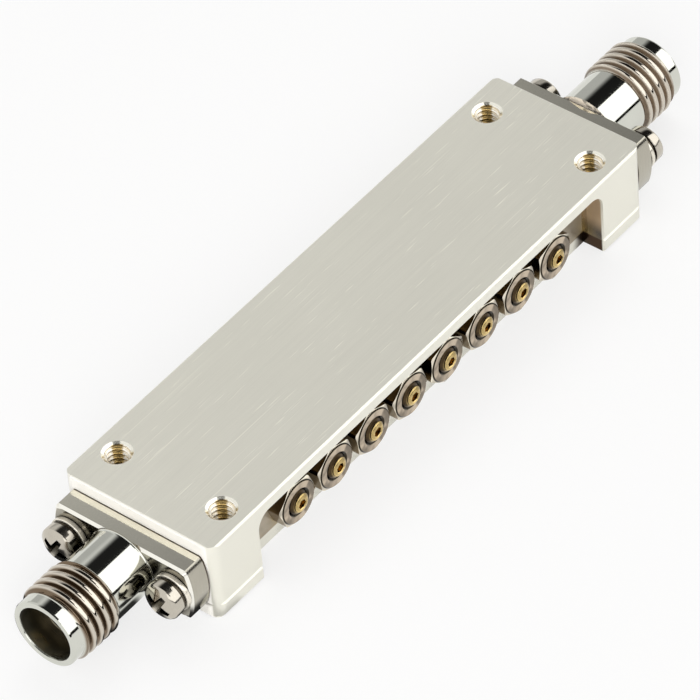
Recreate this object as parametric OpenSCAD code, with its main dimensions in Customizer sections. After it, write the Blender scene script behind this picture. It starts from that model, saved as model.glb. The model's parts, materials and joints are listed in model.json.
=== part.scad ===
// Slim cavity band-pass filter with a coaxial port at each end.
// X runs along the block, the tuning screws face -Y, and the cover's underside is z = 0.

/* [Block] */
// Width of the block across Y
body_w = 13.9; // [12:0.1:18]
// Height of the block with its cover
body_h = 7.2; // [6:0.1:9]
// Length of the solid block beyond each end of the recess
end_block_l = 5.1; // [4.8:0.1:8]
// Thickness of the bottom cover
cover_t = 1.25; // [1:0.05:1.5]
// Radius of the upright corners
corner_r = 1; // [0.5:0.1:2]
// Width of the broken edges
edge_break = 0.15; // [0.05:0.05:0.3]

/* [Side recess] */
// Depth of the recess behind the side face
recess_d = 2.02; // [1.6:0.02:2.6]
// Thickness of the lip above the recess
lip_t = 1.05; // [0.8:0.05:1.2]
// Radius of the recess's upper corners
recess_r = 1.3; // [0.5:0.1:2]
// Distance from the last tuning screw to the end of the recess
recess_end = 5.15; // [3.6:0.05:8]

/* [Cavity] */
// Distance from one resonator to the next
cell_pitch = 4.4; // [4.4:0.1:6]
// Length of a cell between its two iris walls
cell_l = 3.6; // [3.2:0.1:4]
// Width of the coupling window in each iris wall
iris_w = 3; // [2:0.1:3.6]
// Wall between the recess and the cavity
cavity_wall = 1.63; // [1.2:0.01:1.8]
// Metal above the cavity
roof_t = 2; // [1.6:0.1:2.4]
// Radius of the resonator posts
post_r = 0.8; // [0.5:0.05:1]
// Length of the resonator posts below the roof
post_l = 1.9; // [1.4:0.1:2.2]
// Radius of the cutter that milled the cells
cell_r = 0.8; // [0.4:0.1:1.2]

/* [Tuning screws and lock nuts] */
// Radius of a tuning screw's thread
tuner_r = 1; // [0.7:0.05:1.1]
// Length of a tuning screw that stands proud of its nut
tuner_proud = 0.35; // [0.2:0.05:1]
// Gap between a tuning screw's tip and its resonator
tuner_gap = 0.9; // [0.8:0.05:1.2]
// Width across the flats of a tuning screw's hex socket
socket_af = 0.7; // [0.5:0.05:0.9]
// Depth of a tuning screw's hex socket
socket_d = 1; // [0.5:0.1:1.5]
// Width across the flats of a lock nut
nut_af = 3.7; // [3.5:0.1:3.8]
// Thickness of a lock nut
nut_t = 1.4; // [1:0.1:1.5]
// Height of the nuts' row above the middle of the recess
tuner_rise = 0.05; // [0:0.05:0.1]

/* [Mounting holes] */
// Radius of a threaded mounting hole
mount_r = 1; // [0.6:0.05:1.1]
// Depth of a mounting hole's thread
mount_d = 3; // [2:0.1:3.2]
// Distance of a mounting hole from the block's end
mount_end = 3.75; // [3.6:0.05:4.2]
// Distance of a mounting hole from the block's side
mount_side = 2.1; // [1.8:0.05:2.6]
// Width of the countersink round a mounting hole
mount_sink = 0.2; // [0.1:0.05:0.4]

/* [Coaxial ports] */
// Radius of the flange before its flats are cut
flange_r = 6.45; // [6.2:0.05:7]
// Height of the flange between its flats
flange_h = 4.85; // [4.6:0.05:5.6]
// Thickness of the flange
flange_t = 1.95; // [1.4:0.05:2.4]
// Radius of the plain barrel
barrel_r = 2.83; // [2.7:0.01:2.9]
// Radius of the fillet at the barrel's foot
foot_r = 0.35; // [0.1:0.05:0.5]
// Distance from the block to the start of the thread
thread_start = 5.7; // [5:0.1:8]
// Length of the threaded stretch
thread_l = 3.85; // [3:0.05:6]
// Outside radius of the coupling thread
thread_r = 3.175; // [3.1:0.005:3.2]
// Length of the plain nose beyond the thread
nose_l = 1; // [0.4:0.1:1.5]
// Radius of the plain nose
nose_r = 2.85; // [2.7:0.05:2.9]
// Radius of the socket that takes the plug
socket_r = 2.3; // [2.2:0.05:2.4]
// Depth of the socket down to the mating plane
port_d = 1.95; // [1.5:0.05:2.2]
// Inside radius of the air line behind the mating plane
line_r = 1.46; // [1.3:0.02:1.8]
// Outside radius of the centre contact
contact_r = 0.635; // [0.5:0.005:0.7]
// Radius of the pin hole in the centre contact
contact_bore_r = 0.47; // [0.35:0.01:0.48]
// Radius of the pin that runs into the cavity
pin_r = 0.25; // [0.15:0.01:0.3]
// Radius of the support bead
bead_r = 2.05; // [1.9:0.05:2.2]
// Thickness of the support bead
bead_t = 1.5; // [1:0.1:1.7]
// Radius of the insulating sleeve round the pin
sleeve_r = 0.84; // [0.7:0.02:1]

/* [Flange screws] */
// Distance of a flange screw from the port's axis
flange_screw_y = 4.8; // [4.4:0.05:5]
// Thread radius of the flange and cover screws
screw_r = 0.8; // [0.6:0.05:0.85]
// Length of a flange screw under its head
flange_screw_l = 5; // [4:0.1:5]
// Radius of a flange screw's head
pan_r = 1.55; // [1.4:0.05:1.65]
// Height of a flange screw's head
pan_h = 1.3; // [1.1:0.05:1.4]
// Height of the straight side of a flange screw's head
pan_edge = 0.75; // [0.5:0.05:0.9]
// Thickness of a flat washer
flat_washer_t = 0.4; // [0.2:0.05:0.5]
// Outside radius of a flat washer
flat_washer_r = 1.6; // [1.5:0.05:1.65]
// Thickness of a split lock washer
lock_washer_t = 0.3; // [0.2:0.05:0.5]
// Outside radius of a split lock washer
lock_washer_r = 1.4; // [1.3:0.05:1.5]

/* [Cover screws] */
// Length of a countersunk cover screw with its head
cover_screw_l = 3; // [2.6:0.1:3.2]
// Radius of a countersunk head
sink_head_r = 1.5; // [1.3:0.05:1.6]
// Distance of an end cover screw from the cavity's end
cover_end = 2.2; // [1.8:0.05:2.4]
// Distance of an end cover screw from the recess's back wall
cover_inset = 2; // [1.9:0.05:2.2]
// Distance of the side row of cover screws from the block's far side
cover_row = 1.9; // [1.8:0.05:2]

/* [Hidden] */
$fn = 48;
seat_gap = 0.02; // between a part and the hole that it fills
thread_gap = 0.03; // between a screw and the thread that it turns in
screw_clear = 0.1; // between a screw and the hole that it passes through
over = 1; // how far a cutter runs past a face
tuner_chamfer = 0.3; // on a tuning screw's ends
nut_face_r = 1.72; // flat ring on a lock nut's face
nut_step = 0.08; // steep edge round that ring
nut_slope = 20; // angle of a lock nut's chamfers
nut_over = 0.2; // how far the nut's turned section runs past its corners
nut_sink = 0.15; // countersink in a lock nut
flange_bevel = 0.2; // bevel round the flange's front edge
nose_bevel = 0.12; // chamfer on the rim of the nose
contact_slot = 0.14; // width of the slots in the centre contact
contact_slot_l = 1.8; // length of those slots
contact_bore_l = 2.4; // depth of the pin hole in the centre contact
bead_x = 0.3; // from the block's end face to the support bead
pin_gap = 0.1; // between the pin's end and the first resonator
cross_w = 0.45; // width of a cross recess's wings
cross_r = 0.85; // reach of a cross recess's wings
cross_d = 0.8; // depth of a flange screw's cross recess
cover_cross_d = 0.5; // depth of a cover screw's cross recess
washer_slit = 0.22; // width of the slit in a lock washer
washer_slant = 25; // slant of that slit
drill_tip = 0.5; // cone at the bottom of a blind hole
cell_count = 8; // resonators, tuning screws and lock nuts
nut_turns = [50, 41, 37, 45, 23, 42, 35, 27]; // how far each nut has been turned
screw_turns = [20, 5, 48, 31, 12, 55, 38, 24]; // how far each tuning screw has been turned
flange_turns = [38, 30, 12, 51]; // how far each flange screw has been turned

nut_r = nut_af / 2 / cos(30);
recess_l = (cell_count - 1) * cell_pitch + 2 * recess_end;
body_l = recess_l + 2 * end_block_l;
recess_y = -body_w / 2 + recess_d;
lip_z = body_h - lip_t;
cavity_w = -2 * (recess_y + cavity_wall);
cavity_l = (cell_count - 1) * cell_pitch + cell_l;
cavity_top = body_h - roof_t;
tuner_z = lip_z / 2 + tuner_rise;
port_z = (cover_t + lip_z) / 2;
tuner_reach = -recess_y - post_r - tuner_gap;
tuner_l = tuner_reach + nut_t + tuner_proud;
port_l = thread_start + thread_l + nose_l;
mating_x = port_l - port_d;
foot = min(foot_r, flange_screw_y - flat_washer_r - seat_gap - barrel_r);
cover_row_y = body_w / 2 - cover_row;

// Outlines

// Rectangle with round corners, centred on the origin
module rounded_rect(l, w, r) {
    square([l - 2 * r, w], center = true);
    square([l, w - 2 * r], center = true);
    for (x = [-1, 1], y = [-1, 1])
        translate([x * (l / 2 - r), y * (w / 2 - r)]) circle(r);
}

// Upright section of width w between two heights, with its corners broken
module broken_section(w, z0, z1, c) {
    polygon([[-w / 2 + c, z0], [w / 2 - c, z0], [w / 2, z0 + c], [w / 2, z1 - c],
        [w / 2 - c, z1], [-w / 2 + c, z1], [-w / 2, z1 - c], [-w / 2, z0 + c]]);
}

// Length of the block between two heights, with broken edges
module slab(z0, z1) {
    intersection() {
        translate([0, 0, z0]) linear_extrude(z1 - z0) rounded_rect(body_l, body_w, corner_r);
        rotate([90, 0, 90]) linear_extrude(body_l + 2 * over, center = true)
            broken_section(body_w, z0, z1, edge_break);
        rotate([90, 0, 0]) linear_extrude(body_w + 2 * over, center = true)
            broken_section(body_l, z0, z1, edge_break);
    }
}

// Recess as an end mill leaves it: flat back wall, round upper corners, open below
module recess() {
    translate([0, recess_y, 0]) rotate([90, 0, 0]) linear_extrude(recess_d + over) {
        translate([-recess_l / 2, -over]) square([recess_l, lip_z - recess_r + over]);
        translate([-recess_l / 2 + recess_r, -over])
            square([recess_l - 2 * recess_r, lip_z + over]);
        for (s = [-1, 1])
            translate([s * (recess_l / 2 - recess_r), lip_z - recess_r]) circle(recess_r);
    }
}

// Places

function cell_x(i) = (i - (cell_count + 1) / 2) * cell_pitch;

// Local Z runs out of the recess's back wall along a tuning screw's axis
module at_tuner(i) {
    translate([cell_x(i), recess_y, tuner_z]) rotate([90, 0, 0]) children();
}

// Local Z runs out of the block along a port's axis; side is -1 for the input
module at_port(side) {
    translate([side * body_l / 2, 0, port_z]) rotate([0, side * 90, 0]) children();
}

// The two flange screws of a port
module at_flange_screws() {
    for (s = [-1, 1]) translate([0, s * flange_screw_y, 0]) children();
}

module at_mount_holes() {
    for (x = [-1, 1], y = [-1, 1])
        translate([x * (body_l / 2 - mount_end), y * (body_w / 2 - mount_side), 0]) children();
}

// Four cover screws stand beyond the cavity's ends, the others along the wide wall
module at_cover_screws() {
    for (x = [-1, 1], y = [-1, 1])
        translate([x * (cavity_l / 2 + cover_end), y * (-recess_y - cover_inset), 0]) children();
    for (x = [-1, 0, 1]) translate([x * 2.5 * cell_pitch, cover_row_y, 0]) children();
}

// Housing and cover

// Eight cells joined by a coupling window, with a post hanging in each
module cavity() {
    difference() {
        translate([0, 0, cover_t - over]) linear_extrude(cavity_top - cover_t + over) {
            for (i = [1:cell_count])
                translate([cell_x(i), 0]) rounded_rect(cell_l, cavity_w, cell_r);
            square([cavity_l - 2 * cell_r, iris_w], center = true);
        }
        for (i = [1:cell_count])
            translate([cell_x(i), 0, cavity_top - post_l]) cylinder(r = post_r, h = post_l + over);
    }
}

module blind_hole(r, d) {
    translate([0, 0, -d]) cylinder(r = r, h = d + over);
    translate([0, 0, -d - drill_tip]) cylinder(r1 = 0.05, r2 = r, h = drill_tip);
}

module mount_hole() {
    translate([0, 0, body_h]) blind_hole(mount_r, mount_d);
    translate([0, 0, body_h - mount_sink])
        cylinder(r1 = mount_r, r2 = mount_r + 2 * mount_sink, h = 2 * mount_sink);
}

module housing() {
    tip_room = 0.15;
    color([0.82, 0.81, 0.77]) difference() {
        slab(cover_t, body_h);
        recess();
        cavity();
        at_mount_holes() mount_hole();
        at_cover_screws() translate([0, 0, cover_t - over])
            cylinder(r = screw_r + thread_gap, h = cover_screw_l + tip_room - cover_t + over);
        for (i = [1:cell_count]) at_tuner(i)
            translate([0, 0, -cavity_wall - over])
                cylinder(r = tuner_r + thread_gap, h = cavity_wall + 2 * over);
        for (side = [-1, 1]) at_port(side) {
            translate([0, 0, (cavity_l - body_l) / 2])
                cylinder(r = sleeve_r + seat_gap, h = (body_l - cavity_l) / 2 + over);
            at_flange_screws() translate([0, 0, -flange_hole_d() - tip_room])
                cylinder(r = screw_r + thread_gap, h = flange_hole_d() + tip_room + over);
        }
    }
}

// How far a flange screw reaches into the block
function flange_hole_d() = flange_screw_l - flange_t - flat_washer_t - lock_washer_t;

module cover_plate() {
    color([0.8, 0.79, 0.75]) difference() {
        slab(0, cover_t);
        recess();
        at_cover_screws() {
            translate([0, 0, -over]) cylinder(r = screw_r + screw_clear, h = cover_t + 2 * over);
            translate([0, 0, -seat_gap]) sink_cone(sink_head_r + 2 * seat_gap, screw_r);
        }
    }
}

// Countersunk cone, widest at z = 0
module sink_cone(r1, r2) {
    cylinder(r1 = r1, r2 = r2, h = r1 - r2);
}

// Cross recess of a screw head, cut down from z = 0
module cross_recess(r, d) {
    intersection() {
        translate([0, 0, -d]) cylinder(r1 = cross_w / 2, r2 = r, h = d);
        for (a = [0, 90]) rotate(a) cube([2 * r, cross_w, 2 * d], center = true);
    }
}

module cover_screws() {
    color([0.7, 0.7, 0.68]) at_cover_screws() difference() {
        union() {
            sink_cone(sink_head_r, screw_r);
            cylinder(r = screw_r, h = cover_screw_l);
        }
        mirror([0, 0, 1]) cross_recess(cross_r, cover_cross_d);
    }
}

// Coaxial ports, along local Z

// Half of a flange's section: r from its middle, z out of the block, front edge bevelled
module flange_section(r, back) {
    polygon([[0, -back], [r, -back], [r, flange_t - flange_bevel],
        [r - flange_bevel, flange_t], [0, flange_t]]);
}

// Round flange with a flat above and below
module flange() {
    intersection() {
        rotate_extrude() flange_section(flange_r, 0);
        rotate([90, 0, 0]) linear_extrude(2 * (flange_r + over), center = true) {
            flange_section(flange_h / 2, over);
            mirror([1, 0]) flange_section(flange_h / 2, over);
        }
    }
}

// Half section of what is turned in front of the flange: r outwards, z out of the block
module barrel_section() {
    square([barrel_r - over, thread_start]);
    translate([0, flange_t]) square([barrel_r, thread_start + over - flange_t]);
    // fillet at the barrel's foot
    difference() {
        translate([0, flange_t]) square([barrel_r + foot, foot]);
        translate([barrel_r + foot, flange_t + foot]) circle(foot);
    }
    // threaded stretch and plain nose
    polygon([[0, thread_start], [barrel_r, thread_start],
        [thread_r, thread_start + thread_r - barrel_r],
        [thread_r, thread_start + thread_l - thread_r + nose_r],
        [nose_r, thread_start + thread_l], [nose_r, port_l - nose_bevel],
        [nose_r - nose_bevel, port_l], [0, port_l]]);
}

// Half section of everything bored out of the shell
module bore_section() {
    translate([0, -over]) square([bead_r + seat_gap, bead_x + bead_t + over]);
    square([line_r, port_l]);
    polygon([[0, mating_x], [socket_r, mating_x], [socket_r, port_l - nose_bevel],
        [socket_r + nose_bevel + over, port_l + over], [0, port_l + over]]);
}

module connector(side) {
    color([0.72, 0.7, 0.67]) at_port(side) difference() {
        union() {
            flange();
            rotate_extrude() barrel_section();
        }
        rotate_extrude() bore_section();
        at_flange_screws() translate([0, 0, -over])
            cylinder(r = screw_r + screw_clear, h = flange_t + 2 * over);
    }
}

// Slotted socket in front, a shoulder in the bead, and a pin into the cavity
module contact(side) {
    pin_end = cell_x(cell_count) + post_r + pin_gap - body_l / 2;
    color([0.9, 0.72, 0.35]) at_port(side) difference() {
        union() {
            translate([0, 0, bead_x]) cylinder(r = contact_r, h = mating_x - bead_x);
            translate([0, 0, pin_end]) cylinder(r = pin_r, h = bead_x - pin_end + over);
        }
        translate([0, 0, mating_x - contact_bore_l])
            cylinder(r = contact_bore_r, h = contact_bore_l + over);
        for (a = [0, 90]) rotate(a) translate([0, 0, mating_x - contact_slot_l / 2 + over / 2])
            cube([4 * contact_r, contact_slot, contact_slot_l + over], center = true);
    }
}

module bead(side) {
    color([0.93, 0.92, 0.88]) at_port(side) translate([0, 0, bead_x]) difference() {
        cylinder(r = bead_r, h = bead_t);
        translate([0, 0, -over]) cylinder(r = contact_r + seat_gap, h = bead_t + 2 * over);
    }
}

module sleeve(side) {
    l = (body_l - cavity_l) / 2;
    color([0.95, 0.94, 0.9]) at_port(side) translate([0, 0, -l]) difference() {
        cylinder(r = sleeve_r, h = l);
        translate([0, 0, -over]) cylinder(r = pin_r + seat_gap, h = l + 2 * over);
    }
}

// Flange hardware: children stand on the flange's front face, one stack a screw
module at_stacks() {
    for (side = [0, 1], s = [0, 1])
        at_port(2 * side - 1) translate([0, (2 * s - 1) * flange_screw_y, flange_t])
            rotate(flange_turns[2 * side + s]) children();
}

module flat_washers() {
    color([0.75, 0.74, 0.72]) at_stacks() difference() {
        cylinder(r = flat_washer_r, h = flat_washer_t);
        translate([0, 0, -over]) cylinder(r = screw_r + seat_gap, h = flat_washer_t + 2 * over);
    }
}

module lock_washers() {
    color([0.6, 0.58, 0.55]) at_stacks() translate([0, 0, flat_washer_t]) difference() {
        cylinder(r = lock_washer_r, h = lock_washer_t);
        translate([0, 0, -over]) cylinder(r = screw_r + seat_gap, h = lock_washer_t + 2 * over);
        translate([lock_washer_r, 0, lock_washer_t / 2]) rotate([washer_slant, 0, 0])
            cube([2 * lock_washer_r, washer_slit, 4 * lock_washer_t], center = true);
    }
}

// Pan head: a straight side under a domed top
module pan_head() {
    dome_h = pan_h - pan_edge;
    dome_r = (pan_r * pan_r + dome_h * dome_h) / 2 / dome_h;
    rotate_extrude() {
        square([pan_r, pan_edge]);
        intersection() {
            translate([0, pan_edge]) square([pan_r, dome_h]);
            translate([0, pan_h - dome_r]) circle(dome_r, $fn = 96);
        }
    }
}

module flange_screws() {
    color([0.68, 0.67, 0.64]) at_stacks() translate([0, 0, flat_washer_t + lock_washer_t])
        difference() {
            union() {
                pan_head();
                translate([0, 0, -flange_screw_l]) cylinder(r = screw_r, h = flange_screw_l);
            }
            translate([0, 0, pan_h]) cross_recess(cross_r, cross_d);
        }
}

// Tuning screws and lock nuts

// Hex nut with a turned face and a countersunk thread
module lock_nut(i) {
    color([0.66, 0.62, 0.57]) at_tuner(i) difference() {
        intersection() {
            rotate(nut_turns[i - 1]) cylinder(r = nut_r, h = nut_t, $fn = 6);
            rotate_extrude() polygon([[0, 0], [nut_af / 2, 0],
                [nut_r + nut_over, (nut_r + nut_over - nut_af / 2) * tan(nut_slope)],
                [nut_r + nut_over,
                    nut_t - nut_step - (nut_r + nut_over - nut_face_r - nut_step) * tan(nut_slope)],
                [nut_face_r + nut_step, nut_t - nut_step], [nut_face_r, nut_t], [0, nut_t]]);
        }
        translate([0, 0, -over]) cylinder(r = tuner_r + thread_gap, h = nut_t + 2 * over);
        translate([0, 0, nut_t - nut_sink])
            cylinder(r1 = tuner_r + thread_gap, r2 = tuner_r + thread_gap + 2 * nut_sink,
                h = 2 * nut_sink);
    }
}

// Headless screw with chamfered ends and a hex socket
module tuning_screw(i) {
    color([0.85, 0.65, 0.25]) at_tuner(i) translate([0, 0, -tuner_reach]) difference() {
        rotate_extrude() polygon([[0, 0], [tuner_r - tuner_chamfer, 0], [tuner_r, tuner_chamfer],
            [tuner_r, tuner_l - tuner_chamfer], [tuner_r - tuner_chamfer, tuner_l], [0, tuner_l]]);
        translate([0, 0, tuner_l - socket_d]) rotate(screw_turns[i - 1])
            cylinder(r = socket_af / 2 / cos(30), h = socket_d + over, $fn = 6);
    }
}

housing();
cover_plate();
cover_screws();
connector(-1);  // input_connector
contact(-1);  // input_contact
bead(-1);  // input_bead
sleeve(-1);  // input_sleeve
connector(1);  // output_connector
contact(1);  // output_contact
bead(1);  // output_bead
sleeve(1);  // output_sleeve
flange_screws();
lock_washers();
flat_washers();
for (i = [1:cell_count]) {
    lock_nut(i);
    tuning_screw(i);
}
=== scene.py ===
"""Looks of a slim cavity filter with a coaxial port at each end, built around its packed model.

The file is laid out as a Blender add-on. The property groups and the finishes are in metres, and
the mesh code is in millimetres, which is what the part is drawn in.
"""

import json
import math
from types import SimpleNamespace

import bmesh
import bpy
from bpy.props import FloatProperty, FloatVectorProperty, IntProperty, PointerProperty
from bpy.types import Operator, Panel, PropertyGroup
from mathutils import Matrix, Vector


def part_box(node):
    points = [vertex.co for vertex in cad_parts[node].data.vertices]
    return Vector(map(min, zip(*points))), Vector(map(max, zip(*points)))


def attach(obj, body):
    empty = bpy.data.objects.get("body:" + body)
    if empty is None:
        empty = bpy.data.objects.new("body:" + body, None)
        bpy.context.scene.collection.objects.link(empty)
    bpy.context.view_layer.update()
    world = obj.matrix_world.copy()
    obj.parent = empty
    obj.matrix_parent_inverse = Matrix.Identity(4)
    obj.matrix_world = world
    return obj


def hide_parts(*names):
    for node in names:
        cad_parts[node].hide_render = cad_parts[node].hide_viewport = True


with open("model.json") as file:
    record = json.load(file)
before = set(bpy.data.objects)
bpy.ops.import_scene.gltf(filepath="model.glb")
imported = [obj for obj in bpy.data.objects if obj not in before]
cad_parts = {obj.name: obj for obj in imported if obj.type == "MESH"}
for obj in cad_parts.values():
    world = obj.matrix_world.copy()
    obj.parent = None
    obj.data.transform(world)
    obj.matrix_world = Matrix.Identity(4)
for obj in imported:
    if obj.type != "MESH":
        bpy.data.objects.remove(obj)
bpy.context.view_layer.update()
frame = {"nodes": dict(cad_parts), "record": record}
MM = 0.001
PORTS = ("input", "output")
TUNER_COUNT = sum(name.startswith("tuning_screw_") for name in frame["nodes"])
MOUNT_HOLES = next(m for m in frame["record"]["mounts"] if m["name"] == "mounting_holes")

# How far each piece stands turned about its own axis, in degrees
TUNER_TURNS = (20, 5, 48, 31, 12, 55, 38, 24)
NUT_TURNS = (50, 41, 37, 45, 23, 42, 35, 27)
FLANGE_SCREW_TURNS = (58, 64, 12, 51)

bl_info = {
    "name": "Cavity filter looks",
    "version": (1, 0, 0),
    "blender": (4, 5, 0),
    "location": "3D View > Sidebar > Filter",
    "description": "Detailed pieces, finishes and studio for a slim cavity filter",
    "category": "Object",
}


# Sizes and colours

def length(name, description, default, smallest=0.0):
    return FloatProperty(name=name, description=description, default=default, min=smallest,
                         subtype="DISTANCE", unit="LENGTH", precision=6)


def rotation(name, description, default):
    return FloatProperty(name=name, description=description, default=default,
                         subtype="ANGLE", unit="ROTATION")


def colour(name, description, default):
    return FloatVectorProperty(name=name, description=description, default=default, size=3,
                               min=0.0, max=1.0, subtype="COLOR")


class PortSizes(PropertyGroup):
    """Sizes of a coaxial port."""
    flange_radius: length("Flange radius", "Radius of the flange before its flats", 0.00645)
    flange_height: length("Flange height", "Height between the flange's flats", 0.00485)
    flange_thickness: length("Flange thickness", "Thickness of the flange", 0.00195)
    flange_bevel: length("Flange bevel", "Bevel round the flange's front edge", 0.0002)
    barrel_radius: length("Barrel radius", "Radius of the plain barrel", 0.00283)
    foot_radius: length("Foot radius", "Fillet at the barrel's foot", 0.00015)
    thread_start: length("Thread start", "Distance from the block to the thread", 0.0057)
    thread_length: length("Thread length", "Length of the threaded stretch", 0.00385)
    thread_radius: length("Thread radius", "Outside radius of the thread", 0.003175)
    thread_pitch: length("Thread pitch", "Distance from crest to crest", 0.00079, 0.0002)
    thread_depth: length("Thread depth", "Depth of the thread's grooves", 0.0004)
    nose_radius: length("Nose radius", "Radius of the plain nose", 0.00285)
    nose_bevel: length("Nose bevel", "Chamfer on the rim of the nose", 0.00016)
    socket_radius: length("Socket radius", "Radius of the socket", 0.0023)
    socket_depth: length("Socket depth", "Depth of the socket to the mating plane", 0.00195)
    line_radius: length("Line radius", "Inside radius of the air line", 0.00146)
    bead_radius: length("Bead bore radius", "Radius of the bore for the bead", 0.00207)
    bead_depth: length("Bead bore depth", "Depth of the bore for the bead", 0.0018)


class TunerSizes(PropertyGroup):
    """Sizes of the tuning screws and lock nuts."""
    screw_radius: length("Screw radius", "Radius of a tuning screw's thread", 0.001)
    screw_pitch: length("Screw pitch", "Pitch of a tuning screw's thread", 0.0004, 0.0001)
    screw_thread_depth: length("Screw thread depth", "Depth of that thread", 0.0002)
    screw_chamfer: length("Screw chamfer", "Chamfer on a screw's ends", 0.0003)
    socket_width: length("Socket width", "Width across a socket's flats", 0.0007)
    socket_depth: length("Socket depth", "Depth of a screw's hex socket", 0.001)
    nut_width: length("Nut width", "Width across a nut's flats", 0.0037)
    nut_face: length("Nut face radius", "Radius of a nut's turned face", 0.00172)
    nut_step: length("Nut step", "Height of the turned face above its chamfer", 0.00008)
    nut_corner: length("Nut corner", "How far a nut's corners are rounded off", 0.00006)
    nut_sink: length("Nut countersink", "Countersink round a nut's thread", 0.00015)
    nut_slope: rotation("Nut chamfer", "Angle of a nut's chamfers", math.radians(20))


class FastenerSizes(PropertyGroup):
    """Sizes of the flange hardware and the mounting holes."""
    row: length("Row", "Distance of a flange screw from the port's axis", 0.0048)
    screw_radius: length("Screw radius", "Thread radius of a flange screw", 0.0008)
    screw_length: length("Screw length", "Length under the head", 0.005)
    screw_pitch: length("Screw pitch", "Pitch of a flange screw's thread", 0.00035, 0.0001)
    head_radius: length("Head radius", "Radius of a flange screw's head", 0.00155)
    head_height: length("Head height", "Height of the head", 0.0013)
    head_edge: length("Head edge", "Height of the head's straight side", 0.00075)
    cross_reach: length("Cross reach", "Reach of the cross recess", 0.00118)
    cross_width: length("Cross width", "Width of the recess's wings", 0.00046)
    cross_depth: length("Cross depth", "Depth of the cross recess", 0.0008)
    flat_radius: length("Flat washer radius", "Outside radius of a flat washer", 0.0016)
    flat_thickness: length("Flat washer thickness", "Thickness of a flat washer", 0.0004)
    lock_radius: length("Lock washer radius", "Outside radius of a lock washer", 0.0014)
    lock_thickness: length("Lock washer thickness", "Thickness of a lock washer", 0.0003)
    lock_slit: length("Lock washer slit", "Width of the slit in a lock washer", 0.00022)
    hole_radius: length("Hole radius", "Radius of a mounting hole", 0.001)
    hole_crest: length("Hole crest radius", "Radius inside a mounting hole's crests", 0.0008)
    hole_pitch: length("Hole pitch", "Pitch of a mounting hole's thread", 0.00045, 0.0001)
    hole_start: length("Hole start", "Depth of the countersink over a thread", 0.0002)
    hole_depth: length("Hole depth", "Depth of a mounting hole", 0.003)


class Finishes(PropertyGroup):
    """Colours of the filter's metals and plastics, some of which carry painted shade, painted
    highlights and painted reflections.
    """
    plate: colour("Plating", "Silvery plating of the block", (0.80, 0.785, 0.695))
    # Painted shade: a darker copy of the plating, for inside the side recess.
    recess: colour("Recess", "Plating inside the side recess", (0.30, 0.26, 0.20))
    end_wall: colour("Recess ends", "Brown end walls of the side recess", (0.42, 0.30, 0.185))
    # Painted light: a paler, less metallic copy of the plating, for the block's ends.
    end_face: colour("End faces", "Bare ends of the block", (0.87, 0.85, 0.80))
    steel: colour("Port steel", "Polished barrel of a port", (0.655, 0.66, 0.595))
    flange: colour("Flange steel", "Machined flange of a port", (0.46, 0.435, 0.365))
    flat: colour("Flange flats", "Ground flats of a flange", (0.86, 0.83, 0.71))
    # Painted highlight: a pale matt tone for the underside of the barrel's foot where it stands
    # over the flats.
    lip: colour("Barrel's foot", "Rim of the foot that stands over the flats", (0.78, 0.70, 0.60))
    # Painted highlight: the flange's bevel is given this bright colour.
    edge: colour("Flange edge", "Bright bevel round a flange", (0.94, 0.92, 0.84))
    # Also used as painted shade in the cover's notches at the ends of the side recess.
    seam: colour("Seam", "Dark line between a flange and the block", (0.05, 0.025, 0.01))
    thread_steel: colour("Threaded steel", "Handled crests of a port's thread", (0.63, 0.575, 0.49))
    groove: colour("Thread grooves", "Brown tone in a port's grooves", (0.18, 0.13, 0.085))
    # Painted shade inside a port's socket.
    socket: colour("Socket", "Darkened steel inside a port's socket", (0.16, 0.14, 0.10))
    nut: colour("Nut steel", "Turned faces of the lock nuts", (0.35, 0.29, 0.22))
    # Painted highlight on the lock nuts' chamfers.
    nut_edge: colour("Nut chamfers", "Bright chamfers of the lock nuts", (0.68, 0.62, 0.51))
    # Painted shade on the lock nuts' flats.
    nut_side: colour("Nut flanks", "Flats of the lock nuts", (0.22, 0.16, 0.09))
    screw: colour("Screw steel", "Screw heads", (0.56, 0.52, 0.445))
    washer: colour("Washer steel", "Bright flat washers", (0.80, 0.75, 0.65))
    # Painted shade: the lock washers are dark for the shade under the screw heads.
    spring: colour("Spring steel", "Dark lock washers", (0.12, 0.10, 0.075))
    brass: colour("Brass", "End faces of the tuning screws", (0.58, 0.43, 0.18))
    # Painted shade: the tuning screws' threads are near black.
    thread: colour("Dark thread", "Threads of the tuning screws", (0.06, 0.04, 0.02))
    crest: colour("Hole crests", "Plated crests in the mounting holes", (0.98, 0.96, 0.90))
    hole: colour("Hole grooves", "Grooves in the mounting holes", (0.92, 0.84, 0.68))
    # Brass in the mounting holes, painted only on the side that faces the camera, as a painted
    # reflection.
    bare: colour("Bare brass", "Worn brass on the far side of the holes", (0.50, 0.35, 0.13))
    # Painted shade: the brown gold tone that AO brings into the side recess's corners, as a painted
    # reflection of the brass.
    depths: colour("Recess depths", "Brown gold film deep in the side recess", (0.42, 0.31, 0.12))
    gold: colour("Gold", "Plated centre contacts", (0.95, 0.72, 0.30))
    # Painted shade: the dark colour that AO brings into narrow corners.
    grime: colour("Grime", "Dark film in narrow corners", (0.035, 0.03, 0.02))
    bead: colour("Bead", "Support beads", (0.62, 0.60, 0.52))
    sleeve: colour("Sleeve", "Insulating sleeves", (0.80, 0.78, 0.72))


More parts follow.
